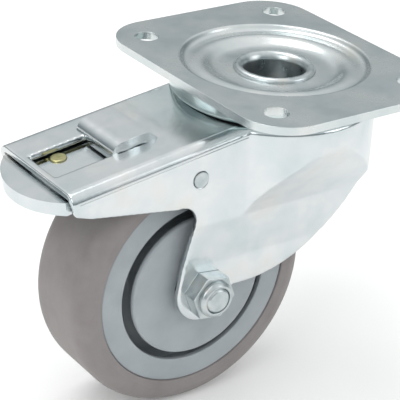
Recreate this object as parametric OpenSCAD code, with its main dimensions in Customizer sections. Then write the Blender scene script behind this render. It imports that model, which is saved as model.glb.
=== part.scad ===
// Swivel castor with a mounting plate, pressed fork, total-lock pedal and rubber-tyred wheel.
// Origin: centre of the mounting plate's top face, on the swivel axis. +Z leaves the plate
// away from the wheel, +X is the way it rolls, and the wheel trails towards -X.

/* [Wheel] */
// Diameter of the tyre's tread
wheel_d = 100; // [90:1:110]
// Width of the tyre across its side walls
tyre_w = 33; // [26:1:35]
// Radius of the tyre's rounded shoulders
tyre_shoulder_r = 6.5; // [3:0.5:8]
// Radius where the rim shows beside the tyre
rim_r = 40; // [38:0.5:41]
// Radial width of the rim's flat outer ring
rim_ring_w = 8.6; // [6:0.2:9]
// Width of the rim between its outer faces
rim_w = 31.4; // [25:0.2:31.4]
// Radius of the round cover over each side of the hub
cover_r = 27.8; // [25:0.2:29]

/* [Head] */
// Length of the mounting plate, across the way it rolls
plate_l = 109; // [100:1:140]
// Width of the mounting plate, along the way it rolls
plate_w = 85; // [82:1:110]
// Thickness of the mounting plate
plate_t = 3; // [2.5:0.1:3.6]
// Radius of the plate's corners
plate_corner_r = 18; // [10:1:18]
// Hole spacing along the way it rolls
hole_dx = 60; // [56:1:70]
// Hole spacing across the way it rolls
hole_dy = 80; // [70:1:90]
// Diameter of the four mounting holes
hole_d = 9; // [6:0.5:11]
// Outer radius of the swivel head's cup
cup_r = 38.5; // [37:0.5:40]
// Radius of the upper ring of balls
upper_race_r = 30; // [29:0.5:31]
// Radius of the lower ring of balls
lower_race_r = 20; // [19:0.5:21]
// Bore of the hollow kingpin
kingpin_bore_d = 22.4; // [20:0.2:23]

/* [Fork] */
// Thickness of the fork's sheet steel
fork_t = 2.5; // [2:0.1:2.8]
// Trail: how far the axle lies behind the swivel axis
trail = 42; // [38:1:46]
// Height of the plate's face above the floor
total_h = 125; // [123:1:135]
// Outer width of the fork at the axle
fork_w = 45; // [45:1:54]
// Outer width of the housing over the pedal
housing_w = 50; // [48:1:54]
// Reach of the housing behind the swivel axis
housing_reach = 100.5; // [98:0.5:112]
// Slope of the housing's top, in degrees
housing_slope = 8.4; // [6:0.2:9]
// Outer bend radius along the housing's top edges
housing_bend_r = 4; // [3:0.5:5]

/* [Brake] */
// How far the pedal turns from free to locked, in degrees
pedal_travel = 11; // [8:0.5:12]
// How far the pedal's tread stands out of the housing
pedal_out = 10; // [8:1:20]
// Thickness of the pedal's sheet steel
pedal_t = 2; // [1.5:0.1:2.2]
// Width of the notches in the locking ring
notch_w = 3.6; // [3.2:0.1:4]

/* [Axle] */
// Diameter of the axle bolt
axle_d = 10; // [8:0.5:11]
// Width across the flats of the nut and the bolt head
hex_af = 16; // [15:1:19]
// Height of the lock nut with its collar
nut_h = 8.5; // [8:0.5:12]

/* [Clearances] */
// Radial running clearance of pins in their holes
run_gap = 0.06; // [0.02:0.01:0.1]
// Radial clearance of the balls in their grooves
ball_gap = 0.05; // [0.03:0.01:0.1]
// Gap between parts that pass each other without a fit
pass_gap = 0.4; // [0.3:0.1:0.8]

/* [Hidden] */
eps = 0.01;

// Colours of the real finishes
zinc = "#c9cdd2";
zinc_cool = "#b4bfc0";
yellow_passivated = "#b7b68a";
bright_steel = "#d8dadb";
dark_seal = "#2b2d2e";
rubber_grey = "#8d8784";
rim_grey = "#9aa2a5";

// Axle and wheel
axle_x = -trail;
axle_z = -(total_h - wheel_d/2);
leg_in = fork_w/2 - fork_t;

// Swivel head, from the top down
dish_r1 = 35;
dish_r2 = 31.7;
dish_r3 = 26.5;
dish_r4 = 22;
race_dip = 2;
hub_dip = 3.5;
upper_ball_r = 3;
lower_ball_r = 2.5;
groove_in = 0.3;
race_t = 1.8;
upper_race_z = -plate_t - race_dip - race_t;
upper_ball_z = upper_race_z + groove_in - upper_ball_r;
crown_z = upper_ball_z - upper_ball_r + groove_in;
crown_under_z = crown_z - fork_t;
lower_ball_z = crown_under_z + groove_in - lower_ball_r;
lower_race_z = lower_ball_z - lower_ball_r + groove_in;
lower_race_t = 2.5;
lower_race_out_r = lower_race_r + 4;
cup_t = 2.5;
cup_edge_r = 2.4;
crown_edge_r = fork_t;
crown_r = cup_r - 0.2;
kingpin_r = kingpin_bore_d/2 + 2;
kingpin_head_r = kingpin_r + 1.8;
kingpin_foot_r = kingpin_r + 3.5;
kingpin_foot_t = 2.2;
ring_out_r = lower_race_out_r + 6;
ring_t = 2.2;
notches = 24;

// Fork: wall from the crown down to the flat legs
crown_wall_z = crown_z - 6;
leg_flat_z = axle_z + 11;
leg_waist_z = crown_z - 38;
leg_taper = 1.8;
leg_steps = 7;
leg_end_r = 12;
leg_back_lean = 11;
leg_back_x = axle_x - 6;
leg_split_z = crown_z - 31;

// Housing, measured along its own sloping top from where it leaves the crown
slope_x = -30;
slope_z = crown_z + 0.5;
housing_end_u = -(housing_reach + slope_x)/cos(housing_slope);
window_u = [-68.7, -46];
window_y = [-9, 9.5];
hood_u = [-46, -27];
hood_y = [-9.6, 14.5];
hood_h = 3.5;
hood_t = 2.2;

// Pedal and its parts
pivot = [axle_x - 6.6, 0, crown_z - 15.3];
stud_r = 3;
pedal_gap = 0.8;
pedal_w = housing_w - 2*fork_t - 1.4;
pedal_bend_r = 3.5;
pedal_top_v = -fork_t - pedal_gap;
pedal_front_u = -30;
tread_w = 42;
arm_eye_r = 6.5;
shoe_w = 24;
shoe_gap = 0.3;
shoe_u = -41;
shoe_l = 10;
shoe_drop = 14;
shoe_rivet_r = 2.2;
rivet_h = 0.5;
tongue_u = -31;
tongue_l = 12;
tongue_w = 16;
tongue_t = 2;
tongue_rivet_r = 1.8;
tooth_w = notch_w - 0.8;
ring_under_z = lower_race_z - ring_t;
spring_l = 26;
spring_w = 7;
spring_t = 1;
slot_y = [7, 9.2];
boss_at = [-58.7, 6.4];
boss_r = 3.1;

// Bearings
bearing_bore_r = axle_d/2 + 2.5;
bearing_out_r = bearing_bore_r + 10;
bearing_in = 4;
bearing_w = 11;
bearing_mid = bearing_in + bearing_w/2;
ring_wall = 2.8;
ball_r = 3;
ball_pitch_r = (bearing_bore_r + bearing_out_r)/2;
balls_each = 8;
hub_half = bearing_in + bearing_w + 0.2;
hub_r = bearing_out_r + 4.5;
cover_face_y = rim_w/2 + 1.7;
cover_t = 1.8;
web_half = 5;

// ---------- shared shapes ----------

// Turns a profile drawn in (radius, height) about the axle's line, with its height along Y
module about_axle() {
    translate([axle_x, 0, axle_z]) rotate([-90, 0, 0]) rotate_extrude($fn = 96) children();
}

// Plain round bar along Y, centred at a point, between two values of y
module bar_y(x, z, r, y0, y1) {
    translate([x, y0, z]) rotate([-90, 0, 0]) cylinder(r = r, h = y1 - y0, $fn = 64);
}

// Side view, drawn in (x, z), given a thickness across the object
module side_plate(y0, y1) {
    translate([0, y1, 0]) rotate([90, 0, 0]) linear_extrude(y1 - y0) children();
}

// Frame of the housing's top face: x runs up the slope, z leaves the face
module on_slope() {
    translate([slope_x, 0, slope_z]) rotate([0, -housing_slope, 0]) children();
}

// Ring of a rectangular section about Z
module ring_z(r0, r1, z0, z1) {
    rotate_extrude($fn = 96) translate([r0, z0]) square([r1 - r0, z1 - z0]);
}

module balls(count, pitch, r) {
    for (i = [0:count - 1]) rotate([0, 0, i*360/count]) translate([pitch, 0, 0]) sphere(r = r, $fn = 48);
}

// Rectangle with round corners, by straight edges and true arcs
module round_rect(w, l, r) {
    square([w - 2*r, l], center = true);
    square([w, l - 2*r], center = true);
    for (sx = [-1, 1], sy = [-1, 1])
        translate([sx*(w/2 - r), sy*(l/2 - r)]) circle(r = r, $fn = 64);
}

module hexagon(af) {
    circle(r = af/sqrt(3), $fn = 6);
}

// ---------- swivel head, fixed to the plate ----------

module mounting_plate() {
    color(zinc) difference() {
        union() {
            difference() {
                translate([0, 0, -plate_t]) linear_extrude(plate_t) round_rect(plate_w, plate_l, plate_corner_r);
                translate([0, 0, -plate_t - 1]) cylinder(r = dish_r1 - 0.5, h = plate_t + 2, $fn = 96);
            }
            rotate_extrude($fn = 96) polygon([
                [kingpin_r, -hub_dip], [dish_r4, -hub_dip], [dish_r3, -race_dip], [dish_r2, -race_dip],
                [dish_r1 - 0.5, 0], [dish_r1 - 0.5, -plate_t], [dish_r2 + 0.9, -plate_t - race_dip],
                [dish_r3, -plate_t - race_dip], [dish_r4, -plate_t - hub_dip], [kingpin_r, -plate_t - hub_dip]]);
        }
        for (sx = [-1, 1], sy = [-1, 1])
            translate([sx*hole_dx/2, sy*hole_dy/2, -plate_t - 1]) cylinder(r = hole_d/2, h = plate_t + 2, $fn = 64);
    }
}

module upper_race_cup() {
    floor_z = crown_z + pass_gap;
    color(zinc_cool) rotate_extrude($fn = 96) difference() {
        union() {
            translate([cup_r - cup_t, floor_z + cup_edge_r]) square([cup_t, -plate_t - floor_z - cup_edge_r]);
            intersection() {
                translate([cup_r - cup_edge_r, floor_z + cup_edge_r]) circle(r = cup_edge_r, $fn = 64);
                translate([cup_r - cup_t, floor_z]) square([cup_t, cup_edge_r + eps]);
            }
            translate([dish_r3, upper_race_z]) square([cup_r - cup_t - dish_r3 + eps, race_t]);
        }
        translate([upper_race_r, upper_ball_z]) circle(r = upper_ball_r + ball_gap, $fn = 48);
    }
}

module dust_seal() {
    color(dark_seal) ring_z(upper_race_r + upper_ball_r + 0.6, cup_r - cup_t, crown_z + 0.2, upper_race_z);
}

module kingpin() {
    foot_z = lower_race_z - lower_race_t;
    color(bright_steel) rotate_extrude($fn = 96) difference() {
        union() {
            translate([kingpin_bore_d/2, foot_z - kingpin_foot_t])
                square([kingpin_r - kingpin_bore_d/2, -hub_dip + 1.4 - foot_z + kingpin_foot_t]);
            translate([kingpin_r - eps, -hub_dip]) square([kingpin_head_r - kingpin_r - 0.7 + eps, 1.4]);
            translate([kingpin_head_r - 0.7, -hub_dip + 0.7]) intersection() {
                circle(r = 0.7, $fn = 32);
                translate([-eps, -0.7]) square([1, 1.4]);
            }
            translate([kingpin_r - eps, foot_z - kingpin_foot_t]) square([kingpin_foot_r - kingpin_r + eps, kingpin_foot_t]);
        }
        polygon([[kingpin_bore_d/2 - eps, -hub_dip + 1.4 + eps], [kingpin_bore_d/2 + 1, -hub_dip + 1.4 + eps],
            [kingpin_bore_d/2 - eps, -hub_dip]]);
    }
}

module lower_race() {
    color(zinc_cool) rotate_extrude($fn = 96) difference() {
        translate([kingpin_r, lower_race_z - lower_race_t]) square([lower_race_out_r - kingpin_r, lower_race_t]);
        translate([lower_race_r, lower_ball_z]) circle(r = lower_ball_r + ball_gap, $fn = 48);
    }
}

module locking_ring() {
    color(zinc) difference() {
        ring_z(lower_race_out_r, ring_out_r, lower_race_z - ring_t, lower_race_z);
        for (i = [0:notches - 1]) rotate([0, 0, i*360/notches])
            translate([lower_race_out_r + 1.2, -notch_w/2, lower_race_z - ring_t - 1])
                cube([ring_out_r - lower_race_out_r, notch_w, ring_t + 2]);
    }
}

module upper_balls() {
    color(bright_steel) translate([0, 0, upper_ball_z]) balls(26, upper_race_r, upper_ball_r);
}

module lower_balls() {
    color(bright_steel) translate([0, 0, lower_ball_z]) balls(20, lower_race_r, lower_ball_r);
}

// ---------- fork ----------

// Round crown plate with its rolled edge, a ball groove on each face and the kingpin's clearance hole
module crown_plate() {
    rotate_extrude($fn = 96) difference() {
        union() {
            translate([kingpin_r + 2, crown_under_z]) square([crown_r - crown_edge_r - kingpin_r - 2, fork_t]);
            intersection() {
                translate([crown_r - crown_edge_r, crown_z - crown_edge_r]) circle(r = crown_edge_r, $fn = 64);
                translate([crown_r - crown_edge_r - eps, crown_z - crown_edge_r]) square(crown_edge_r + 2*eps);
            }
        }
        translate([upper_race_r, upper_ball_z]) circle(r = upper_ball_r + ball_gap, $fn = 48);
        translate([lower_race_r, lower_ball_z]) circle(r = lower_ball_r + ball_gap, $fn = 48);
    }
}

// Point i of the leg's outer profile (half width, height): down the crown's wall, an even S to the
// waist, a slight taper, then flat
function leg_point(i, top, low) =
    i == 0 ? [crown_r, top] : i == leg_steps + 3 ? [fork_w/2, low] : i == leg_steps + 2 ? [fork_w/2, leg_flat_z] :
    let (t = (i - 1)/leg_steps)
        [crown_r + (fork_w/2 + leg_taper - crown_r)*t*t*(3 - 2*t), crown_wall_z + (leg_waist_z - crown_wall_z)*t];

// Drawn shell between the round crown and the flat legs, shrunk by inset for its inside
module leg_shell(inset) {
    top = crown_z - crown_edge_r + (inset > 0 ? 1 : 0);
    low = axle_z - 20 - inset;
    intersection() {
        translate([-90, 0, 0]) rotate([90, 0, 90]) linear_extrude(150) polygon([
            for (s = [-1, 1], i = [0:leg_steps + 3]) let (p = leg_point(s < 0 ? i : leg_steps + 3 - i, top, low)) [s*(p[0] - inset), p[1]]]);
        translate([0, 0, low]) union() {
            cylinder(r = crown_r - inset, h = top - low, $fn = 96);
            translate([-70, -housing_w/2 + inset, 0]) cube([70, housing_w - 2*inset, top - low]);
        }
    }
}

// Outline of a leg seen from the side: the bowed front edge, the round end and the leaning back edge
module leg_outline() {
    front_c = [-25, -21];
    front_r = 55;
    top = crown_z - crown_edge_r;
    intersection() {
        translate(front_c) circle(r = front_r, $fn = 128);
        polygon([[axle_x, axle_z - leg_end_r], [60, axle_z - leg_end_r], [60, top],
            [slope_x - 2, top], [slope_x - 2, crown_z - 24], [axle_x - 6.5, leg_split_z - 0.8]]);
    }
    translate([axle_x, axle_z]) circle(r = leg_end_r, $fn = 64);
    polygon([
        [axle_x - leg_end_r*cos(leg_back_lean), axle_z + leg_end_r*sin(leg_back_lean)],
        [axle_x - 7, leg_split_z + 1.2], [axle_x + 20, leg_split_z + 1.2],
        [axle_x + leg_end_r*sin(15), axle_z - leg_end_r*cos(15)], [axle_x, axle_z]]);
    translate([crown_r, top]) polygon([[-18.3, 0], [1, 0], [1, -5], [-2, -11], [-8.6, -19], [-18.3, -19]]);
}

// Outline of a cheek of the housing, with its rounded lower corner and the hollow behind the leg
module cheek_outline() {
    end_x = -housing_reach;
    hollow_r = 6.9;
    low = leg_split_z - 2.8;
    difference() {
        polygon([[end_x, crown_z + 2.2], [end_x, crown_z - 12.8], [end_x + 1.6, crown_z - 17.8], [end_x + 7.5, crown_z - 19.7],
            [axle_x - 16, crown_z - 25.1], [axle_x - 7, low], [slope_x + 8, low], [slope_x + 8, crown_z + 2.2]]);
        translate([axle_x - 14.2, leg_split_z - 1]) circle(r = hollow_r, $fn = 48);
        translate([axle_x - 30, low - 14]) square([30 - 14.2 + hollow_r, leg_split_z - 1 - low + 14]);
    }
}

// Cross-section of the housing: a channel with rounded upper edges, drawn in (y, z)
module channel(w, t, r, depth) {
    difference() {
        union() {
            translate([-w/2, -depth]) square([w, depth - r]);
            translate([-w/2 + r, -depth]) square([w - 2*r, depth]);
            for (s = [-1, 1]) translate([s*(w/2 - r), -r]) circle(r = r, $fn = 48);
        }
        difference() {
            translate([-w/2 + t, -depth - 1]) square([w - 2*t, depth - t + 1]);
            for (s = [-1, 1]) translate([s*(w/2 - t), -t]) difference() {
                square(2*(r - t), center = true);
                translate([-s*(r - t), -(r - t)]) circle(r = r - t, $fn = 48);
            }
        }
    }
}

module channel_run(u0, u1, w, t, r, depth) {
    translate([u0, 0, 0]) rotate([90, 0, 90]) linear_extrude(u1 - u0) channel(w, t, r, depth);
}

module housing() {
    difference() {
        intersection() {
            on_slope() channel_run(housing_end_u - 10, 6, housing_w, fork_t, housing_bend_r, 60);
            side_plate(-housing_w, housing_w) cheek_outline();
        }
        on_slope() {
            translate([window_u[0], window_y[0], -fork_t - 1])
                cube([window_u[1] - window_u[0], window_y[1] - window_y[0], fork_t + 2]);
            translate([hood_u[0] - eps, hood_y[0], -fork_t - 1])
                cube([hood_u[1] - hood_u[0] - 2, hood_y[1] - hood_y[0], fork_t + 2]);
        }
        cylinder(r = crown_r - fork_t, h = 80, center = true, $fn = 96);
        translate([0, 0, crown_z]) cylinder(r = cup_r + pass_gap, h = 20, $fn = 96);
    }
}

// Raised hood over the front of the window, rolled down at its free end
module hood() {
    lift = hood_h - hood_t;
    roll = hood_h;
    on_slope() side_plate(hood_y[0] + 0.3, hood_y[1] - 0.3) {
        translate([hood_u[0] + roll, hood_h - roll]) difference() {
            circle(r = roll, $fn = 48);
            circle(r = roll - hood_t, $fn = 48);
            translate([0, -roll - 1]) square([roll + 1, 2*roll + 2]);
            translate([-roll - 1, -roll - 1]) square([2*roll + 2, roll + 1]);
        }
        translate([hood_u[0], -fork_t + 0.3]) square([hood_t, fork_t - 0.3 + eps]);
        polygon([[hood_u[0] + roll - eps, lift], [hood_u[0] + roll - eps, hood_h], [hood_u[1] - 6, hood_h],
            [hood_u[1], 0], [hood_u[1], -fork_t], [hood_u[1] - 2.4, -fork_t], [hood_u[1] - 7, lift]]);
    }
}

module fork() {
    color(zinc) difference() {
        union() {
            crown_plate();
            difference() {
                intersection() {
                    leg_shell(0);
                    side_plate(-50, 50) leg_outline();
                }
                leg_shell(fork_t);
                translate([leg_back_x - 12, -housing_w/2 + fork_t, leg_split_z - 7]) cube([12 + 26, housing_w - 2*fork_t, crown_under_z - leg_split_z + 7]);
            }
            housing();
            hood();
        }
        bar_y(axle_x, axle_z, axle_d/2 + run_gap, -60, 60);
        bar_y(pivot[0], pivot[2], stud_r, -60, 60);
    }
}

module pivot_studs() {
    color(bright_steel) for (s = [-1, 1]) mirror([0, s > 0 ? 0 : 1, 0]) {
        bar_y(pivot[0], pivot[2], stud_r, pedal_w/2 - pedal_t - 0.4, housing_w/2 + 0.3);
        bar_y(pivot[0], pivot[2], stud_r + 1.2, pedal_w/2 - pedal_t - 1.6, pedal_w/2 - pedal_t - 0.4);
    }
}

// ---------- axle ----------

module axle_bolt() {
    head_h = 6.4;
    end_chamfer = 1;
    color(zinc_cool) {
        bar_y(axle_x, axle_z, axle_d/2, -fork_w/2 - nut_h - 0.4 + end_chamfer, fork_w/2 + 1.8);
        translate([axle_x, -fork_w/2 - nut_h - 0.4, axle_z]) rotate([-90, 0, 0])
            cylinder(r1 = axle_d/2 - end_chamfer, r2 = axle_d/2, h = end_chamfer, $fn = 64);
        translate([axle_x, fork_w/2 + 1.8, axle_z]) rotate([-90, 0, 0]) linear_extrude(head_h) hexagon(hex_af);
    }
}

module bolt_washer() {
    color(zinc_cool) about_axle() translate([axle_d/2, fork_w/2]) square([axle_d/2, 1.8]);
}

module lock_nut() {
    hex_h = nut_h - 2.6;
    color(zinc) difference() {
        translate([axle_x, -fork_w/2, axle_z]) rotate([90, 8, 0]) linear_extrude(hex_h) hexagon(hex_af);
        bar_y(axle_x, axle_z, axle_d/2, -60, 0);
    }
}

module nut_collar() {
    hex_h = nut_h - 2.6;
    color(zinc_cool) about_axle() difference() {
        translate([axle_d/2, -fork_w/2 - nut_h]) square([hex_af/2 - 1 - axle_d/2, nut_h - hex_h]);
        translate([hex_af/2 - 1, -fork_w/2 - nut_h]) rotate(45) square(1.6, center = true);
    }
}

module axle_sleeve() {
    color(zinc_cool) about_axle() translate([axle_d/2 + run_gap, -leg_in]) square([bearing_bore_r - axle_d/2 - run_gap, 2*leg_in]);
}

module centre_spacer() {
    color(zinc_cool) about_axle() translate([bearing_bore_r, -bearing_in]) square([1.8, 2*bearing_in]);
}

module side_spacers() {
    color(zinc_cool) for (s = [-1, 1]) about_axle()
        translate([bearing_bore_r, s > 0 ? bearing_in + bearing_w : -leg_in]) square([1.8, leg_in - bearing_in - bearing_w]);
}

// ---------- wheel bearings ----------

module ball_groove() {
    translate([ball_pitch_r, 0]) circle(r = ball_r + ball_gap, $fn = 48);
}

module bearing_inner_rings() {
    color(bright_steel) for (s = [-1, 1]) about_axle() translate([0, s*bearing_mid]) difference() {
        translate([bearing_bore_r, -bearing_w/2]) square([ring_wall, bearing_w]);
        ball_groove();
    }
}

module bearing_outer_rings() {
    color(bright_steel) for (s = [-1, 1]) about_axle() translate([0, s*bearing_mid]) difference() {
        translate([bearing_out_r - ring_wall, -bearing_w/2]) square([ring_wall, bearing_w]);
        ball_groove();
    }
}

module in_bearings() {
    translate([axle_x, 0, axle_z]) for (s = [-1, 1]) translate([0, s*bearing_mid, 0]) rotate([-90*s, 0, 0]) children();
}

module bearing_balls() {
    color(bright_steel) in_bearings() balls(balls_each, ball_pitch_r, ball_r);
}

module bearing_cages() {
    color(yellow_passivated) in_bearings() difference() {
        ring_z(ball_pitch_r - 1.2, ball_pitch_r + 1.2, 1.2, 4.2);
        balls(balls_each, ball_pitch_r, ball_r + ball_gap);
    }
}

// ---------- wheel ----------

// Half of the seat between rim and tyre, as (radius, y) points from the side inwards
function seat(side) = [[rim_r, side*rim_w/2], [rim_r, side*(rim_w/2 - 2.2)], [rim_r + 3, side*(rim_w/2 - 3.6)]];

module rim() {
    ring_in = rim_r - rim_ring_w;
    face = rim_w/2;
    lip = 2;
    under_r = ring_in + 4.6;
    color(rim_grey) about_axle() difference() {
        polygon(concat(
            [[hub_r, -hub_half], [hub_r, -web_half], [under_r, -web_half], [under_r, -face + lip + 1], [ring_in, -face + lip], [ring_in, -face]],
            seat(-1), [for (i = [2:-1:0]) seat(1)[i]],
            [[ring_in, face], [ring_in, face - lip], [under_r, face - lip - 1], [under_r, web_half], [hub_r, web_half], [hub_r, hub_half],
             [bearing_out_r, hub_half], [bearing_out_r, bearing_in], [bearing_out_r - 2, bearing_in],
             [bearing_out_r - 2, -bearing_in], [bearing_out_r, -bearing_in], [bearing_out_r, -hub_half]]));
    }
}

module tyre() {
    r = wheel_d/2;
    half = tyre_w/2;
    s = tyre_shoulder_r;
    color(rubber_grey) about_axle() difference() {
        union() {
            translate([rim_r, -half + s]) square([r - rim_r, 2*(half - s)]);
            translate([rim_r, -half]) square([r - s - rim_r, 2*half]);
            for (side = [-1, 1]) translate([r - s, side*(half - s)]) circle(r = s, $fn = 48);
        }
        polygon(concat([[rim_r - s, -rim_w/2 - 5], [rim_r, -rim_w/2 - 5]], seat(-1),
            [for (i = [2:-1:0]) seat(1)[i]], [[rim_r, rim_w/2 + 5], [rim_r - s, rim_w/2 + 5]]));
    }
}

module cover(side) {
    edge_r = 0.9;
    color(rim_grey) about_axle() scale([1, side]) {
        translate([bearing_bore_r + 2.4, cover_face_y - cover_t]) square([cover_r - edge_r - bearing_bore_r - 2.4, cover_t]);
        translate([cover_r - edge_r - eps, cover_face_y - cover_t]) square([edge_r + eps, cover_t - edge_r]);
        translate([cover_r - edge_r, cover_face_y - edge_r]) circle(r = edge_r, $fn = 32);
        translate([hub_r, hub_half - 3]) square([1.8, cover_face_y - cover_t - hub_half + 3 + eps]);
    }
}

module near_cover() { cover(-1); }
module far_cover() { cover(1); }

// ---------- pedal ----------

// Turns the pedal's pieces from where they are when locked back to where they rest
module from_locked() {
    translate(pivot) rotate([0, pedal_travel, 0]) translate(-pivot) children();
}

// Side arms of the pedal: they run down inside the housing's cheeks to the pivot studs
module arm_outline() {
    end_x = -housing_reach + 3;
    polygon([[end_x, crown_z - 7.8], [end_x, crown_z - 13.8], [end_x + 6, crown_z - 17.3],
        [pivot[0] - 8, pivot[2] - 6], [pivot[0], pivot[2] - arm_eye_r + 0.1], [pivot[0] + 5.6, pivot[2] + 3.3],
        [pivot[0], pivot[2] + 12.5]]);
    translate([pivot[0], pivot[2]]) circle(r = arm_eye_r, $fn = 48);
}

module tread_outline() {
    out_u = housing_end_u - pedal_out;
    arc_r = 29;
    intersection() {
        translate([out_u + arc_r, 0]) circle(r = arc_r, $fn = 96);
        translate([out_u - 1, -tread_w/2]) square([pedal_out + 6, tread_w]);
    }
}

module brake_pedal() {
    color(zinc) difference() {
        union() {
            intersection() {
                on_slope() translate([0, 0, pedal_top_v])
                    channel_run(housing_end_u + 2.5, pedal_front_u, pedal_w, pedal_t, pedal_bend_r, 40);
                side_plate(-housing_w, housing_w) arm_outline();
            }
            on_slope() translate([0, 0, pedal_top_v - pedal_t]) {
                translate([housing_end_u + 2.4, -tread_w/2 + 2, 0]) cube([6, tread_w - 4, pedal_t]);
                linear_extrude(pedal_t) tread_outline();
                difference() {
                    translate([0, 0, -3]) linear_extrude(3 + eps) tread_outline();
                    translate([pedal_t, 0, -4]) linear_extrude(5) tread_outline();
                }
            }
        }
        on_slope() translate([window_u[0] + 1.5, slot_y[0], pedal_top_v - pedal_t - 1])
            cube([window_u[1] - window_u[0] - 1, slot_y[1] - slot_y[0], pedal_t + 2]);
        on_slope() translate([boss_at[0], boss_at[1], pedal_top_v - pedal_t - 1]) cylinder(r = boss_r + run_gap, h = pedal_t + 2, $fn = 48);
        bar_y(pivot[0], pivot[2], stud_r + run_gap, -60, 60);
    }
}

module brake_shoe() {
    color(dark_seal) difference() {
        on_slope() translate([shoe_u, -shoe_w/2, -shoe_drop]) cube([shoe_l, shoe_w, shoe_drop + pedal_top_v - pedal_t]);
        from_locked() bar_y(axle_x, axle_z, wheel_d/2 + shoe_gap, -60, 60);
    }
}

module shoe_rivets() {
    color(bright_steel) on_slope() for (s = [-1, 1]) translate([shoe_u + shoe_l/2, s*shoe_w/4, pedal_top_v])
        cylinder(r = shoe_rivet_r, h = rivet_h, $fn = 48);
}

module locking_tongue() {
    top = pedal_top_v - pedal_t;
    color(zinc_cool) {
        on_slope() translate([tongue_u, -tongue_w/2, top - tongue_t]) cube([tongue_l, tongue_w, tongue_t]);
        side_plate(-tongue_w/2, tongue_w/2) translate([-ring_out_r, ring_under_z]) polygon([
            [-19.2, 2.4], [-19.2, 0.3], [-12, -2.5], [-4, -4.1], [-4, -2.1], [-12, -0.5]]);
        side_plate(-tooth_w/2, tooth_w/2) translate([-ring_out_r, ring_under_z]) polygon([
            [-4.5, -4.2], [4, -4.5], [4.4, -1.1], [2.4, -1.1], [2, -2.6], [-4.5, -2.2]]);
    }
}

module tongue_rivets() {
    color(bright_steel) on_slope() for (s = [-1, 1]) translate([tongue_u + 3, s*(tongue_w/2 - 3), pedal_top_v])
        cylinder(r = tongue_rivet_r, h = rivet_h, $fn = 48);
}

module leaf_spring() {
    top = pedal_top_v - pedal_t;
    color(yellow_passivated) on_slope() translate([window_u[0] - 1, boss_at[1] - 5, top - spring_t - 0.2]) cube([spring_l, spring_w, spring_t]);
}

module spring_stud() {
    color(yellow_passivated) on_slope() translate([boss_at[0], boss_at[1], pedal_top_v - pedal_t - 0.2]) cylinder(r = boss_r, h = pedal_t + 0.9, $fn = 48);
}

mounting_plate();
upper_race_cup();
dust_seal();
kingpin();
lower_race();
locking_ring();
upper_balls();
lower_balls();
fork();
pivot_studs();
axle_bolt();
bolt_washer();
lock_nut();
nut_collar();
axle_sleeve();
centre_spacer();
side_spacers();
bearing_inner_rings();
bearing_balls();
bearing_cages();
bearing_outer_rings();
rim();
tyre();
near_cover();
far_cover();
brake_pedal();
brake_shoe();
shoe_rivets();
locking_tongue();
tongue_rivets();
leaf_spring();
spring_stud();
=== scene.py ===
# Swivel castor with a total-lock pedal: finishes, refined pieces, studio and camera.
import bpy, math
from mathutils import Matrix, Vector


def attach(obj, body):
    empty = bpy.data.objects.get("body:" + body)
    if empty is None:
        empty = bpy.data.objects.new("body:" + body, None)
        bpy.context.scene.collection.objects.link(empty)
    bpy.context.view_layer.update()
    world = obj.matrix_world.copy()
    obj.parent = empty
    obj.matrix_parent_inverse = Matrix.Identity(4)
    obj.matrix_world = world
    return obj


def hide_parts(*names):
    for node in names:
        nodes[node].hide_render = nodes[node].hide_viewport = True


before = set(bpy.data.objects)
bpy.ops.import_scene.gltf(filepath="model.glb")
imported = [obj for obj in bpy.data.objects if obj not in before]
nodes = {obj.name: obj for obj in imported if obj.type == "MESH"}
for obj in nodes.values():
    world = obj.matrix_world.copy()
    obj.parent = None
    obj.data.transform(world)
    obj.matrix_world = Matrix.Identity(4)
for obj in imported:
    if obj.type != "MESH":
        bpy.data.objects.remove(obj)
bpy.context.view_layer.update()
mm = 0.001
print("frame loaded:", len(nodes), "nodes")


def hexColour(code):
    channels = [int(code[i:i + 2], 16) / 255 for i in (1, 3, 5)]
    return [c / 12.92 if c <= 0.04045 else ((c + 0.055) / 1.055) ** 2.4 for c in channels] + [1.0]


def addNode(tree, kind, settings=None, links=None, stops=None):
    # settings are node properties or socket values, links are socket name -> output socket,
    # and stops are the places and colours of a ramp
    node = tree.nodes.new(kind)
    for key, value in (settings or {}).items():
        if key in node.inputs:
            node.inputs[key].default_value = value
        else:
            setattr(node, key, value)
    for key, source in (links or {}).items():
        tree.links.new(source, node.inputs[key])
    if stops:
        elements = node.color_ramp.elements
        while len(elements) > len(stops):
            elements.remove(elements[-1])
        while len(elements) < len(stops):
            elements.new(1.0)
        for element, (position, code) in zip(elements, stops):
            element.position = position
            element.color = hexColour(code)
    return node


def newMaterial(name):
    material = bpy.data.materials.new(name)
    material.use_nodes = True
    tree = material.node_tree
    tree.nodes.clear()
    place = addNode(tree, "ShaderNodeTexCoord")
    return material, tree, place.outputs["Object"]


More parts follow.
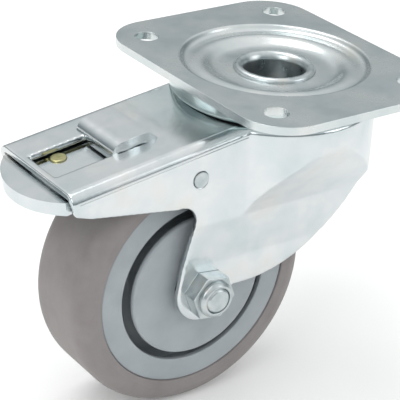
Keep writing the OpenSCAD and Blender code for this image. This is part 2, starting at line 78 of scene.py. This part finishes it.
# Bright zinc plating with a clear blue passivation on pressed sheet steel: a silvery metal that
# mirrors softly, with cloudy cool and warm patches and the faint grain of rolled sheet.
def zincPlatedSheet(name, light="#dadcdd", cool="#ccd3d5", warm="#d9d8d3", roughness=0.2, cloud=22):
    material, tree, place = newMaterial(name)
    clouds = addNode(tree, "ShaderNodeTexNoise",
                     {"Scale": 1 / (cloud * mm), "Detail": 4.0, "Roughness": 0.55}, {"Vector": place})
    base = addNode(tree, "ShaderNodeValToRGB", None, {"Fac": clouds.outputs["Fac"]},
                   [(0.34, cool), (0.56, light), (0.74, warm)])
    tint = addNode(tree, "ShaderNodeTexNoise",
                   {"Scale": 1 / (9 * mm), "Detail": 3.0, "Distortion": 0.6}, {"Vector": place})
    shade = addNode(tree, "ShaderNodeValToRGB", None, {"Fac": tint.outputs["Fac"]},
                    [(0.3, "#f3f7f8"), (0.7, "#ffffff")])
    # sockets 6 and 7 are the two colours of a Mix node, and output 2 is the mixed one
    mixed = addNode(tree, "ShaderNodeMix",
                    {"data_type": "RGBA", "blend_type": "MULTIPLY", "Factor": 0.7},
                    {6: base.outputs["Color"], 7: shade.outputs["Color"]})
    # grain marks of rolled sheet, 1.6 by 0.35 mm, coarser than real ones so that they show
    stretch = addNode(tree, "ShaderNodeMapping",
                      {"Scale": (1 / (1.6 * mm), 1 / (0.35 * mm), 1 / (0.8 * mm))}, {"Vector": place})
    rolled = addNode(tree, "ShaderNodeTexNoise", {"Scale": 1.0, "Detail": 2.0},
                     {"Vector": stretch.outputs["Vector"]})
    bump = addNode(tree, "ShaderNodeBump", {"Strength": 0.12, "Distance": 0.02 * mm},
                   {"Height": rolled.outputs["Fac"]})
    # the pressed sheet isn't quite flat: a slow wave 14 mm long bends its reflections
    slow = addNode(tree, "ShaderNodeTexNoise", {"Scale": 1 / (14 * mm), "Detail": 1.0}, {"Vector": place})
    wave = addNode(tree, "ShaderNodeBump", {"Strength": 0.25, "Distance": 0.2 * mm},
                   {"Height": slow.outputs["Fac"], "Normal": bump.outputs["Normal"]})
    rough = addNode(tree, "ShaderNodeMapRange",
                    {"From Min": 0.25, "From Max": 0.75, "To Min": roughness - 0.05,
                     "To Max": roughness + 0.08}, {"Value": clouds.outputs["Fac"]})
    shader = addNode(tree, "ShaderNodeBsdfPrincipled", {"Metallic": 1.0},
                     {"Base Color": mixed.outputs[2], "Roughness": rough.outputs["Result"],
                      "Normal": wave.outputs["Normal"]})
    addNode(tree, "ShaderNodeOutputMaterial", None, {"Surface": shader.outputs["BSDF"]})
    return material


# Turned or rolled bright steel: smoother and more even than the plated sheet, faintly mottled.
def brightSteel(name):
    material, tree, place = newMaterial(name)
    mottled = addNode(tree, "ShaderNodeTexNoise", {"Scale": 1 / (3 * mm), "Detail": 3.0}, {"Vector": place})
    base = addNode(tree, "ShaderNodeValToRGB", None, {"Fac": mottled.outputs["Fac"]},
                   [(0.3, "#d4d6d8"), (0.75, "#f0f1f1")])
    rough = addNode(tree, "ShaderNodeMapRange",
                    {"From Min": 0.3, "From Max": 0.7, "To Min": 0.16, "To Max": 0.26},
                    {"Value": mottled.outputs["Fac"]})
    bump = addNode(tree, "ShaderNodeBump", {"Strength": 0.1, "Distance": 0.02 * mm},
                   {"Height": mottled.outputs["Fac"]})
    shader = addNode(tree, "ShaderNodeBsdfPrincipled", {"Metallic": 1.0},
                     {"Base Color": base.outputs["Color"], "Roughness": rough.outputs["Result"],
                      "Normal": bump.outputs["Normal"]})
    addNode(tree, "ShaderNodeOutputMaterial", None, {"Surface": shader.outputs["BSDF"]})
    return material


# Yellow-passivated zinc on spring steel: a dull straw film with greener and pinker patches.
def yellowPassivatedSteel(name):
    material, tree, place = newMaterial(name)
    film = addNode(tree, "ShaderNodeTexNoise",
                   {"Scale": 1 / (4 * mm), "Detail": 4.0, "Distortion": 0.8}, {"Vector": place})
    base = addNode(tree, "ShaderNodeValToRGB", None, {"Fac": film.outputs["Fac"]},
                   [(0.3, "#96945f"), (0.5, "#b5b083"), (0.7, "#a3a07c")])
    rough = addNode(tree, "ShaderNodeMapRange",
                    {"From Min": 0.3, "From Max": 0.7, "To Min": 0.26, "To Max": 0.42},
                    {"Value": film.outputs["Fac"]})
    shader = addNode(tree, "ShaderNodeBsdfPrincipled", {"Metallic": 1.0},
                     {"Base Color": base.outputs["Color"], "Roughness": rough.outputs["Result"]})
    addNode(tree, "ShaderNodeOutputMaterial", None, {"Surface": shader.outputs["BSDF"]})
    return material


# Moulded thermoplastic rubber, grey and non-marking: warm, matt and softly cloudy, with the fine
# texture of its mould.
def mouldedGreyRubber(name):
    material, tree, place = newMaterial(name)
    cloudy = addNode(tree, "ShaderNodeTexNoise",
                     {"Scale": 1 / (16 * mm), "Detail": 5.0, "Roughness": 0.6}, {"Vector": place})
    base = addNode(tree, "ShaderNodeValToRGB", None, {"Fac": cloudy.outputs["Fac"]},
                   [(0.32, "#837d7c"), (0.55, "#8d8786"), (0.75, "#878382")])
    specks = addNode(tree, "ShaderNodeTexNoise", {"Scale": 1 / (0.5 * mm), "Detail": 2.0}, {"Vector": place})
    bump = addNode(tree, "ShaderNodeBump", {"Strength": 0.3, "Distance": 0.06 * mm},
                   {"Height": specks.outputs["Fac"]})
    rough = addNode(tree, "ShaderNodeMapRange",
                    {"From Min": 0.3, "From Max": 0.7, "To Min": 0.5, "To Max": 0.62},
                    {"Value": cloudy.outputs["Fac"]})
    shader = addNode(tree, "ShaderNodeBsdfPrincipled", {"IOR": 1.5, "Specular IOR Level": 0.4},
                     {"Base Color": base.outputs["Color"], "Roughness": rough.outputs["Result"],
                      "Normal": bump.outputs["Normal"]})
    addNode(tree, "ShaderNodeOutputMaterial", None, {"Surface": shader.outputs["BSDF"]})
    return material


# Injection-moulded polypropylene, blue grey: satin, even in colour, with a fine spark-eroded skin.
def greyPolypropylene(name):
    material, tree, place = newMaterial(name)
    cloudy = addNode(tree, "ShaderNodeTexNoise", {"Scale": 1 / (12 * mm), "Detail": 3.0}, {"Vector": place})
    base = addNode(tree, "ShaderNodeValToRGB", None, {"Fac": cloudy.outputs["Fac"]},
                   [(0.3, "#989fa3"), (0.7, "#a6acb0")])
    skin = addNode(tree, "ShaderNodeTexNoise", {"Scale": 1 / (0.35 * mm), "Detail": 2.0}, {"Vector": place})
    bump = addNode(tree, "ShaderNodeBump", {"Strength": 0.12, "Distance": 0.03 * mm},
                   {"Height": skin.outputs["Fac"]})
    rough = addNode(tree, "ShaderNodeMapRange",
                    {"From Min": 0.3, "From Max": 0.7, "To Min": 0.4, "To Max": 0.5},
                    {"Value": cloudy.outputs["Fac"]})
    shader = addNode(tree, "ShaderNodeBsdfPrincipled", {"IOR": 1.49},
                     {"Base Color": base.outputs["Color"], "Roughness": rough.outputs["Result"],
                      "Normal": bump.outputs["Normal"]})
    addNode(tree, "ShaderNodeOutputMaterial", None, {"Surface": shader.outputs["BSDF"]})
    return material


# Black nitrile rubber of the dust seal and the brake shoe: dark and matt with a dusty bloom.
def blackNitrileRubber(name):
    material, tree, place = newMaterial(name)
    bloom = addNode(tree, "ShaderNodeTexNoise", {"Scale": 1 / (5 * mm), "Detail": 4.0}, {"Vector": place})
    base = addNode(tree, "ShaderNodeValToRGB", None, {"Fac": bloom.outputs["Fac"]},
                   [(0.3, "#1d1f20"), (0.75, "#313436")])
    shader = addNode(tree, "ShaderNodeBsdfPrincipled", {"IOR": 1.52, "Roughness": 0.65},
                     {"Base Color": base.outputs["Color"]})
    addNode(tree, "ShaderNodeOutputMaterial", None, {"Surface": shader.outputs["BSDF"]})
    return material


finish = {
    "sheet": zincPlatedSheet("zinc_plated_sheet_steel"),
    "plate": zincPlatedSheet("zinc_plated_plate", light="#d6d9d9", cool="#c8cfd0", warm="#d2d3ce",
                             roughness=0.24),
    # the race cup's darker, greener colours are painted shade and painted reflection from under the plate
    "cupPaintedShade": zincPlatedSheet("zinc_plated_cup_painted_shade_and_reflection", light="#ccd6d5", cool="#b3c2c2", warm="#c6cdc6", cloud=15),
    "small": zincPlatedSheet("zinc_plated_hardware", light="#c9cdce", cool="#b0b9bb", warm="#c6c6be",
                             roughness=0.3, cloud=6),
    "steel": brightSteel("bright_turned_steel"),
    "yellow": yellowPassivatedSteel("yellow_passivated_steel"),
    "rubber": mouldedGreyRubber("moulded_grey_rubber"),
    "plastic": greyPolypropylene("grey_polypropylene"),
    "seal": blackNitrileRubber("black_nitrile_rubber"),
}

nodeFinish = {
    "mounting_plate": "plate", "upper_race_cup": "cupPaintedShade", "dust_seal": "seal", "kingpin": "small",
    "lower_race": "small", "locking_ring": "small", "upper_balls": "steel", "lower_balls": "steel",
    "fork": "sheet", "pivot_studs": "small", "axle_bolt": "small", "bolt_washer": "small",
    "lock_nut": "small", "nut_collar": "small", "axle_sleeve": "small", "centre_spacer": "small",
    "side_spacers": "small", "bearing_inner_rings": "steel", "bearing_balls": "steel",
    "bearing_cages": "yellow", "bearing_outer_rings": "steel", "rim": "plastic", "tyre": "rubber",
    "near_cover": "plastic", "far_cover": "plastic", "brake_pedal": "sheet", "brake_shoe": "seal",
    "shoe_rivets": "steel", "locking_tongue": "small", "tongue_rivets": "steel",
    "leaf_spring": "yellow", "spring_stud": "yellow",
}
for nodeName, key in nodeFinish.items():
    data = nodes[nodeName].data
    data.materials.clear()
    data.materials.append(finish[key])
print("finishes made:", len(finish))


# how meshes are joined and shaded, in mm and degrees
meshCare = {"mergeGap": 0.002, "flatAngle": 0.4, "spinGap": 0.004, "bevelAngle": 32, "creaseAngle": 32,
            "turnedCrease": 40}


def only(piece):
    bpy.ops.object.select_all(action="DESELECT")
    piece.select_set(True)
    bpy.context.view_layer.objects.active = piece


def applyModifier(piece, kind, **settings):
    only(piece)
    modifier = piece.modifiers.new(kind.lower(), kind)
    for key, value in settings.items():
        setattr(modifier, key, value)
    bpy.ops.object.modifier_apply(modifier=modifier.name)


def mergedCopy(nodeName, pieceName):
    # a CAD node is loose triangles, so its copy is merged and its flat faces are joined up
    source = nodes[nodeName]
    only(source)
    bpy.ops.object.duplicate()
    piece = bpy.context.object
    piece.name = piece.data.name = pieceName
    piece.parent = None
    for key in list(piece.keys()):  # the node's own tags don't belong to its copy
        del piece[key]
    only(piece)
    bpy.ops.object.mode_set(mode="EDIT")
    bpy.ops.mesh.select_all(action="SELECT")
    bpy.ops.mesh.remove_doubles(threshold=meshCare["mergeGap"] * mm)
    bpy.ops.mesh.dissolve_limited(angle_limit=math.radians(meshCare["flatAngle"]))
    bpy.ops.object.mode_set(mode="OBJECT")
    return piece


def finishPiece(piece, material, body, stands):
    piece.data.materials.clear()
    piece.data.materials.append(material)
    only(piece)
    bpy.ops.object.transform_apply(location=True, rotation=True, scale=True)
    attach(piece, body)
    if stands:
        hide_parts(*stands)
    return piece


def softEdges(nodeName, pieceName, width):
    # breaks every sharp edge by a small radius, as pressing, turning or moulding leaves it
    piece = mergedCopy(nodeName, pieceName)
    applyModifier(piece, "BEVEL", width=width * mm, segments=3, limit_method="ANGLE",
                  angle_limit=math.radians(meshCare["bevelAngle"]))
    smoothShade(piece, meshCare["creaseAngle"])
    return piece


def smoothShade(piece, angle):
    # broad flats keep their own direction, so a small edge radius doesn't shade the whole face
    only(piece)
    bpy.ops.object.shade_smooth_by_angle(angle=math.radians(angle))
    applyModifier(piece, "WEIGHTED_NORMAL", weight=90, keep_sharp=True)


def turned(name, profile, centre=(0, 0, 0), axis="Z", steps=128):
    # a profile of (radius, height) in mm is drawn point by point, then spun about the axis
    along = Vector((0, 0, 1)) if axis == "Z" else Vector((0, 1, 0))
    points = [Vector((r, 0, 0)) * mm + along * h * mm + Vector(centre) for r, h in profile]
    bpy.ops.object.select_all(action="DESELECT")
    bpy.ops.mesh.primitive_plane_add(size=mm, location=points[0])
    piece = bpy.context.object
    piece.name = piece.data.name = name
    bpy.ops.object.transform_apply(location=True, rotation=True, scale=True)
    bpy.ops.object.mode_set(mode="EDIT")
    bpy.ops.mesh.select_mode(type="VERT")
    bpy.ops.mesh.select_all(action="SELECT")
    bpy.ops.mesh.merge(type="CENTER")
    for start, end in zip(points, points[1:]):
        bpy.ops.mesh.extrude_region_move(TRANSFORM_OT_translate={"value": end - start})
    bpy.ops.mesh.select_all(action="SELECT")
    bpy.ops.mesh.spin(steps=steps, angle=2 * math.pi, center=centre, axis=along)
    bpy.ops.mesh.select_all(action="SELECT")
    bpy.ops.mesh.remove_doubles(threshold=meshCare["spinGap"] * mm)
    bpy.ops.mesh.normals_make_consistent(inside=False)
    bpy.ops.object.mode_set(mode="OBJECT")
    return piece


def cutAway(piece, cutter):
    applyModifier(piece, "BOOLEAN", operation="DIFFERENCE", solver="EXACT", object=cutter)
    bpy.data.objects.remove(cutter)


def boxAt(name, low, high, turn=None):
    # a block between two corners in mm, in the object's frame or in a turned one
    bpy.ops.object.select_all(action="DESELECT")
    middle = [(a + b) / 2 * mm for a, b in zip(low, high)]
    bpy.ops.mesh.primitive_cube_add(size=1, location=middle)
    block = bpy.context.object
    block.name = block.data.name = name
    block.scale = [(b - a) * mm for a, b in zip(low, high)]
    bpy.ops.object.transform_apply(location=True, rotation=True, scale=True)
    if turn is not None:
        block.data.transform(turn)
    return block


# fork: the CAD pressing with its edges rolled over, as drawing and folding leave them

forkDetail = {
    "voxel": 0.42, "smoothPasses": 7, "smoothFactor": 0.6, "keepShare": 0.36, "smoothAngle": 50,
    "slopeAt": (-30, 0, -11.7), "slopeFall": 8.4,  # a point of the housing's top, and its fall in degrees
    "hoodCut": ((-50, -10.2, 0.02), (-26.6, 15.2, 6)),  # window_hood takes over here, in the slope's frame
    "foldLines": [(-21.2, 0.0), (-24.95, -3.9)],  # across the slope and below it
    "lineEnds": (-69, 7), "lineHalf": 0.16,
}
slopeFrame = (Matrix.Translation([c * mm for c in forkDetail["slopeAt"]])
              @ Matrix.Rotation(math.radians(-forkDetail["slopeFall"]), 4, "Y"))
fork = mergedCopy("fork", "fork_pressing")
cutAway(fork, boxAt("hoodCutter", *forkDetail["hoodCut"], slopeFrame))
applyModifier(fork, "REMESH", mode="VOXEL", voxel_size=forkDetail["voxel"] * mm)
applyModifier(fork, "SMOOTH", factor=forkDetail["smoothFactor"], iterations=forkDetail["smoothPasses"])
applyModifier(fork, "DECIMATE", decimate_type="COLLAPSE", ratio=forkDetail["keepShare"])
for across, drop in forkDetail["foldLines"]:  # witness lines left by the folding tool
    (start, end), half = forkDetail["lineEnds"], forkDetail["lineHalf"]
    onEdge = Matrix.Translation((0, across * mm, drop * mm)) @ Matrix.Rotation(math.radians(45), 4, "X")
    cutAway(fork, boxAt("foldLine", (start, -half, -half), (end, half, half), slopeFrame @ onEdge))
smoothShade(fork, forkDetail["smoothAngle"])
finishPiece(fork, finish["sheet"], "fork", ["fork"])
print("fork pressed:", len(fork.data.polygons), "faces")


# raised hood over the pedal's window, drawn in the slope's frame

hoodShape = {
    "left": -46.2, "right": -27.2, "near": -9.6, "far": 14.4,  # along the slope and across, in mm
    "top": 3.6, "sink": 0.3, "foot": -2.4, "footWidth": 1.2,  # crest, depth in the sheet, foot at its end
    "roll": 4.6, "ramp": 3.4, "rampEnd": -0.25,  # radius at the window's end, and the run back down
    "tear": 0.3, "tearPitch": 0.7,  # depth of the torn edge's facets, and radians of them for each mm
    "cuts": 17, "crowding": 1.5,  # cuts each way, set closer together where the sheet rolls over
    "edge": 0.25, "smoothAngle": 40,
}


def hoodCrest(shape, fromLeft, fromRight):
    # height of the hood's top at a place along it
    crest, roll = shape["top"], shape["roll"]
    if fromLeft < roll:  # rolled down at the window's end
        crest -= roll - math.sqrt(roll ** 2 - (roll - fromLeft) ** 2)
    if fromRight < shape["ramp"]:  # the sheet runs back down into the housing's top
        t = fromRight / shape["ramp"]
        crest = shape["rampEnd"] + (shape["top"] - shape["rampEnd"]) * t * t * (3 - 2 * t)
    return crest


hood = boxAt("window_hood", (hoodShape["left"], hoodShape["near"], -hoodShape["sink"]),
             (hoodShape["right"], hoodShape["far"], hoodShape["top"]))
bpy.ops.object.mode_set(mode="EDIT")
bpy.ops.mesh.subdivide(number_cuts=hoodShape["cuts"])
bpy.ops.object.mode_set(mode="OBJECT")
length = hoodShape["right"] - hoodShape["left"]
for vertex in hood.data.vertices:
    x, y, z = (c / mm for c in vertex.co)
    upper = (z + hoodShape["sink"]) / (hoodShape["top"] + hoodShape["sink"])
    fromLeft = length * ((x - hoodShape["left"]) / length) ** hoodShape["crowding"]
    crest = hoodCrest(hoodShape, fromLeft, length - fromLeft)
    base = -hoodShape["sink"] if fromLeft > hoodShape["footWidth"] else hoodShape["foot"]
    if abs(y - hoodShape["near"]) < 0.01:  # torn and re-pressed edge: shallow facets along the cut
        facet = 0.5 + 0.5 * math.sin(fromLeft * hoodShape["tearPitch"])
        y += hoodShape["tear"] * facet * (1 - upper * 0.5)
    vertex.co = Vector((hoodShape["left"] + fromLeft, y, base + (crest - base) * upper)) * mm
applyModifier(hood, "BEVEL", width=hoodShape["edge"] * mm, segments=2, limit_method="ANGLE",
              angle_limit=math.radians(hoodShape["smoothAngle"]))
smoothShade(hood, hoodShape["smoothAngle"])
hood.data.transform(slopeFrame)
finishPiece(hood, finish["sheet"], "fork", [])
print("hood made")


# mounting plate's pressed dish and the kingpin's curled flange

plateDish = {
    "profile": [  # radius and height, from the flat inwards over the two rings and back underneath
        (35.4, -0.02), (35.1, -0.06), (34.8, -0.22), (34.5, -0.62), (34.2, -1.12), (33.8, -1.6),
        (33.2, -1.95), (32.4, -2.1), (31.3, -2.05), (30.0, -1.8), (28.8, -1.6), (27.6, -1.6),
        (26.6, -1.78), (25.7, -2.15), (24.8, -2.7), (23.9, -3.3), (23.0, -3.75), (22.0, -4.0),
        (20.5, -4.1), (18.5, -4.05), (17.0, -3.95), (15.4, -3.9), (15.2, -3.9), (15.2, -6.4),
        (22, -6.45), (26.5, -4.95), (32.6, -4.95), (35.4, -2.9), (35.4, -0.02)],
    "steps": 160, "rimRadius": 35.4, "plateEdge": 0.5,
    "cutDepth": 30,  # of the cutter that makes room for the dish
}
dishPiece = turned("plate_dish", plateDish["profile"], steps=plateDish["steps"])
smoothShade(dishPiece, meshCare["turnedCrease"])
finishPiece(dishPiece, finish["plate"], "plate", [])

plate = mergedCopy("mounting_plate", "mounting_plate_pressing")
bpy.ops.object.select_all(action="DESELECT")
bpy.ops.mesh.primitive_cylinder_add(vertices=plateDish["steps"], radius=plateDish["rimRadius"] * mm,
                                    depth=plateDish["cutDepth"] * mm, location=(0, 0, 0))
cutAway(plate, bpy.context.object)
applyModifier(plate, "BEVEL", width=plateDish["plateEdge"] * mm, segments=3, limit_method="ANGLE",
              angle_limit=math.radians(meshCare["bevelAngle"]))
smoothShade(plate, meshCare["creaseAngle"])
finishPiece(plate, finish["plate"], "plate", ["mounting_plate"])

kingpinShape = {
    "profile": [  # radius and height, up the bore, over the curled top and down to the foot's flange
        (11.2, -23.6), (11.2, -5.4), (11.4, -4.4), (11.8, -3.5), (12.3, -2.85), (12.9, -2.45),
        (13.6, -2.3), (14.2, -2.4), (14.75, -2.75), (15.05, -3.3), (15.15, -3.9), (15.15, -5.5),
        (13.2, -5.6), (13.2, -21.6), (16.7, -21.7), (16.7, -23.5), (16.4, -23.8), (11.5, -23.8),
        (11.2, -23.6)],
}
kingpin = turned("kingpin_turning", kingpinShape["profile"])
smoothShade(kingpin, meshCare["turnedCrease"])
finishPiece(kingpin, finish["small"], "plate", ["kingpin"])
print("dish and flange turned")


# tyre, spun about the axle

axle = (-42 * mm, 0, -75 * mm)
tyreShape = {
    "tread": 50, "half": 16.5, "shoulder": 6.5,  # radius, half width and corner radius, in mm
    "seat": 40, "seatHalf": 15.7, "seatStep": 2.2, "seatTop": 43, "seatDrop": 1.4,  # where it grips the rim
    "bands": [2.4, 5.6], "bandDepth": 0.07, "bandHalf": 0.35,  # shallow flow bands round the tread
    "partingHalf": 0.12, "partingEnd": 0.3, "partingDepth": 0.06,  # the mould's parting line in the middle
    "shoulderLead": 0.6, "shoulderSteps": 12,
    "ridge": 43, "ridgeAbove": 0.5, "ridgeHeight": 0.12,  # low step on the side wall
    "ridgeStarts": 0.4, "ridgeFalls": 0.1, "ridgeEnds": 0.3,
    "lipEnd": 0.9, "lipDrop": 0.16, "lipMiddle": 0.35, "lipMiddleDrop": 0.3,  # edge next to the rim
    "mouth": 0.08, "mouthRound": 0.7,
    "steps": 144,
}


def tyreHalf(shape):
    # radius and height from the tread's middle over one shoulder, down the side wall to the rim seat
    tread, half, shoulder, ridge, seat = (shape[k] for k in ("tread", "half", "shoulder", "ridge", "seat"))
    points = [(tread, shape["partingHalf"]), (tread - shape["partingDepth"], shape["partingEnd"])]
    for band in shape["bands"]:
        points += [(tread, band - shape["bandHalf"]), (tread - shape["bandDepth"], band),
                   (tread, band + shape["bandHalf"])]
    points.append((tread, half - shoulder - shape["shoulderLead"]))
    for step in range(shape["shoulderSteps"] + 1):
        turn = math.radians(90 * step / shape["shoulderSteps"])
        points.append((tread - shoulder * (1 - math.cos(turn)), half - shoulder * (1 - math.sin(turn))))
    points = [p for p in points if p[0] > ridge + shape["ridgeAbove"]]
    points += [(ridge + shape["ridgeStarts"], half),
               (ridge + shape["ridgeFalls"], half - shape["ridgeHeight"]),
               (ridge - shape["ridgeEnds"], half - shape["ridgeHeight"])]
    seatLow = shape["seatHalf"] - shape["seatStep"]
    points += [(seat + shape["lipEnd"], half - shape["lipDrop"]),
               (seat + shape["lipMiddle"], half - shape["lipMiddleDrop"]),
               (seat + shape["mouth"], half - shape["mouthRound"]),
               (seat, seatLow), (shape["seatTop"], seatLow - shape["seatDrop"])]
    return points


oneSide = tyreHalf(tyreShape)
otherSide = [(r, -y) for r, y in reversed(oneSide)]
tyre = turned("tyre_moulding", otherSide + oneSide + [otherSide[0]], centre=axle, axis="Y",
              steps=tyreShape["steps"])
smoothShade(tyre, meshCare["turnedCrease"])
finishPiece(tyre, finish["rubber"], "wheel", ["tyre"])
print("tyre turned")


# CAD pieces with their sharp edges broken

edgeWork = [
    # node, piece, edge radius in mm, body, slot, finish
    ("upper_race_cup", "race_cup_pressing", 0.3, "plate", "zinc_plate", "cupPaintedShade"),
    ("brake_pedal", "pedal_pressing", 0.35, "pedal", "zinc_plate", "sheet"),
    ("lock_nut", "lock_nut_body", 0.35, "fork", "zinc_parts", "small"),
    ("nut_collar", "lock_nut_collar", 0.3, "fork", "zinc_parts", "small"),
    ("axle_bolt", "axle_bolt_body", 0.3, "fork", "zinc_parts", "small"),
    ("bolt_washer", "bolt_washer_disc", 0.25, "fork", "zinc_parts", "small"),
    ("rim", "rim_moulding", 0.4, "wheel", "rim_plastic", "plastic"),
    ("near_cover", "near_cover_moulding", 0.3, "wheel", "rim_plastic", "plastic"),
    ("far_cover", "far_cover_moulding", 0.3, "wheel", "rim_plastic", "plastic"),
    ("spring_stud", "spring_rivet_head", 0.6, "pedal", "yellow_zinc", "yellow"),
    ("pivot_studs", "pivot_stud_rivets", 0.25, "fork", "zinc_parts", "small"),
    ("leaf_spring", "leaf_spring_strip", 0.2, "pedal", "yellow_zinc", "yellow"),
]
for nodeName, pieceName, radius, body, slot, key in edgeWork:
    piece = softEdges(nodeName, pieceName, radius)
    finishPiece(piece, finish[key], body, [nodeName])
print("edges broken on", len(edgeWork), "pieces")


# studio and camera

studio = {
    "floorDrop": 0.125, "floorGap": 0.0002, "floorSize": 8.0, "floorGlow": 0.1,
    "floorColours": [(0.3, "#ececeb"), (0.7, "#f6f6f5")],
    # sky colours by the height they stand at, from level (0) to overhead (1)
    "sky": [(0.0, "#6d7679"), (0.2, "#8f989b"), (0.42, "#c3c8ca"), (0.62, "#eef0f0"), (0.9, "#ffffff")],
    "skyStrength": 1.05,
    "lights": [
        # name, place, aims at, size, watts
        ("overheadBox", (-0.3, 0.35, 1.2), (0, 0, 0), 0.9, 6.5),
        ("leftBox", (-1.3, -0.5, 0.7), (0, 0, -0.05), 0.8, 5),
        ("rightBox", (1.0, -1.2, 0.6), (0, 0, -0.05), 0.8, 4),
    ],
}

world = bpy.data.worlds.new("studioWorld")
bpy.context.scene.world = world
world.use_nodes = True
worldTree = world.node_tree
worldTree.nodes.clear()
skyPlace = addNode(worldTree, "ShaderNodeTexCoord")
skyParts = addNode(worldTree, "ShaderNodeSeparateXYZ", None, {"Vector": skyPlace.outputs["Generated"]})
skyRamp = addNode(worldTree, "ShaderNodeValToRGB", None, {"Fac": skyParts.outputs["Z"]}, studio["sky"])
skyShader = addNode(worldTree, "ShaderNodeBackground", {"Strength": studio["skyStrength"]},
                    {"Color": skyRamp.outputs["Color"]})
addNode(worldTree, "ShaderNodeOutputWorld", None, {"Surface": skyShader.outputs["Background"]})

bpy.ops.object.select_all(action="DESELECT")
bpy.ops.mesh.primitive_plane_add(size=studio["floorSize"],
                                 location=(0, 0, -studio["floorDrop"] - studio["floorGap"]))
floor = bpy.context.object
floor.name = "studioFloor"
floorMaterial, floorTree, floorPlace = newMaterial("matt_white_board")
floorNoise = addNode(floorTree, "ShaderNodeTexNoise", {"Scale": 8.0}, {"Vector": floorPlace})
floorRamp = addNode(floorTree, "ShaderNodeValToRGB", None, {"Fac": floorNoise.outputs["Fac"]},
                    studio["floorColours"])
floorShader = addNode(floorTree, "ShaderNodeBsdfPrincipled",
                      {"Roughness": 0.9, "Specular IOR Level": 0.1, "Emission Color": hexColour("#ffffff"),
                       "Emission Strength": studio["floorGlow"]}, {"Base Color": floorRamp.outputs["Color"]})
addNode(floorTree, "ShaderNodeOutputMaterial", None, {"Surface": floorShader.outputs["BSDF"]})
floor.data.materials.append(floorMaterial)


def aim(place, target):
    return (Vector(target) - Vector(place)).to_track_quat("-Z", "Y").to_euler()


for lightName, place, target, size, watts in studio["lights"]:
    lamp = bpy.data.lights.new(lightName, "AREA")
    lamp.shape, lamp.size, lamp.energy = "SQUARE", size, watts
    lampObject = bpy.data.objects.new(lightName, lamp)
    lampObject.location, lampObject.rotation_euler = place, aim(place, target)
    bpy.context.scene.collection.objects.link(lampObject)

cameraSettings = {
    "azimuth": -36.59, "elevation": 26.64, "roll": 3.53,  # degrees round the object, above the floor, tilt
    "distance": 0.593, "lens": 145.8, "sensor": 36,
    "originRight": 0.3755, "originUp": 0.709,  # where the plate's centre stands, in half frames
    "clipStart": 0.01, "clipEnd": 20,
}


def placeCamera(settings):
    around, above, roll = (math.radians(settings[k]) for k in ("azimuth", "elevation", "roll"))
    flat = math.cos(above)
    back = Vector((math.sin(around) * flat, -math.cos(around) * flat, math.sin(above)))
    level = Vector((math.cos(around), math.sin(around), 0))
    upright = back.cross(level)
    right = math.cos(roll) * level + math.sin(roll) * upright
    up = math.cos(roll) * upright - math.sin(roll) * level
    halfFrame = settings["distance"] * settings["sensor"] / 2 / settings["lens"]
    place = (back * settings["distance"] - right * settings["originRight"] * halfFrame
             - up * settings["originUp"] * halfFrame)
    cameraData = bpy.data.cameras.new("studioCamera")
    cameraData.lens, cameraData.sensor_width = settings["lens"], settings["sensor"]
    cameraData.clip_start, cameraData.clip_end = settings["clipStart"], settings["clipEnd"]
    cameraObject = bpy.data.objects.new("studioCamera", cameraData)
    turn = Matrix((right, up, back)).transposed().to_4x4()
    cameraObject.matrix_world = Matrix.Translation(place) @ turn
    bpy.context.scene.collection.objects.link(cameraObject)
    bpy.context.scene.camera = cameraObject


placeCamera(cameraSettings)
bpy.context.scene.view_settings.view_transform = "Standard"
print("studio and camera placed")
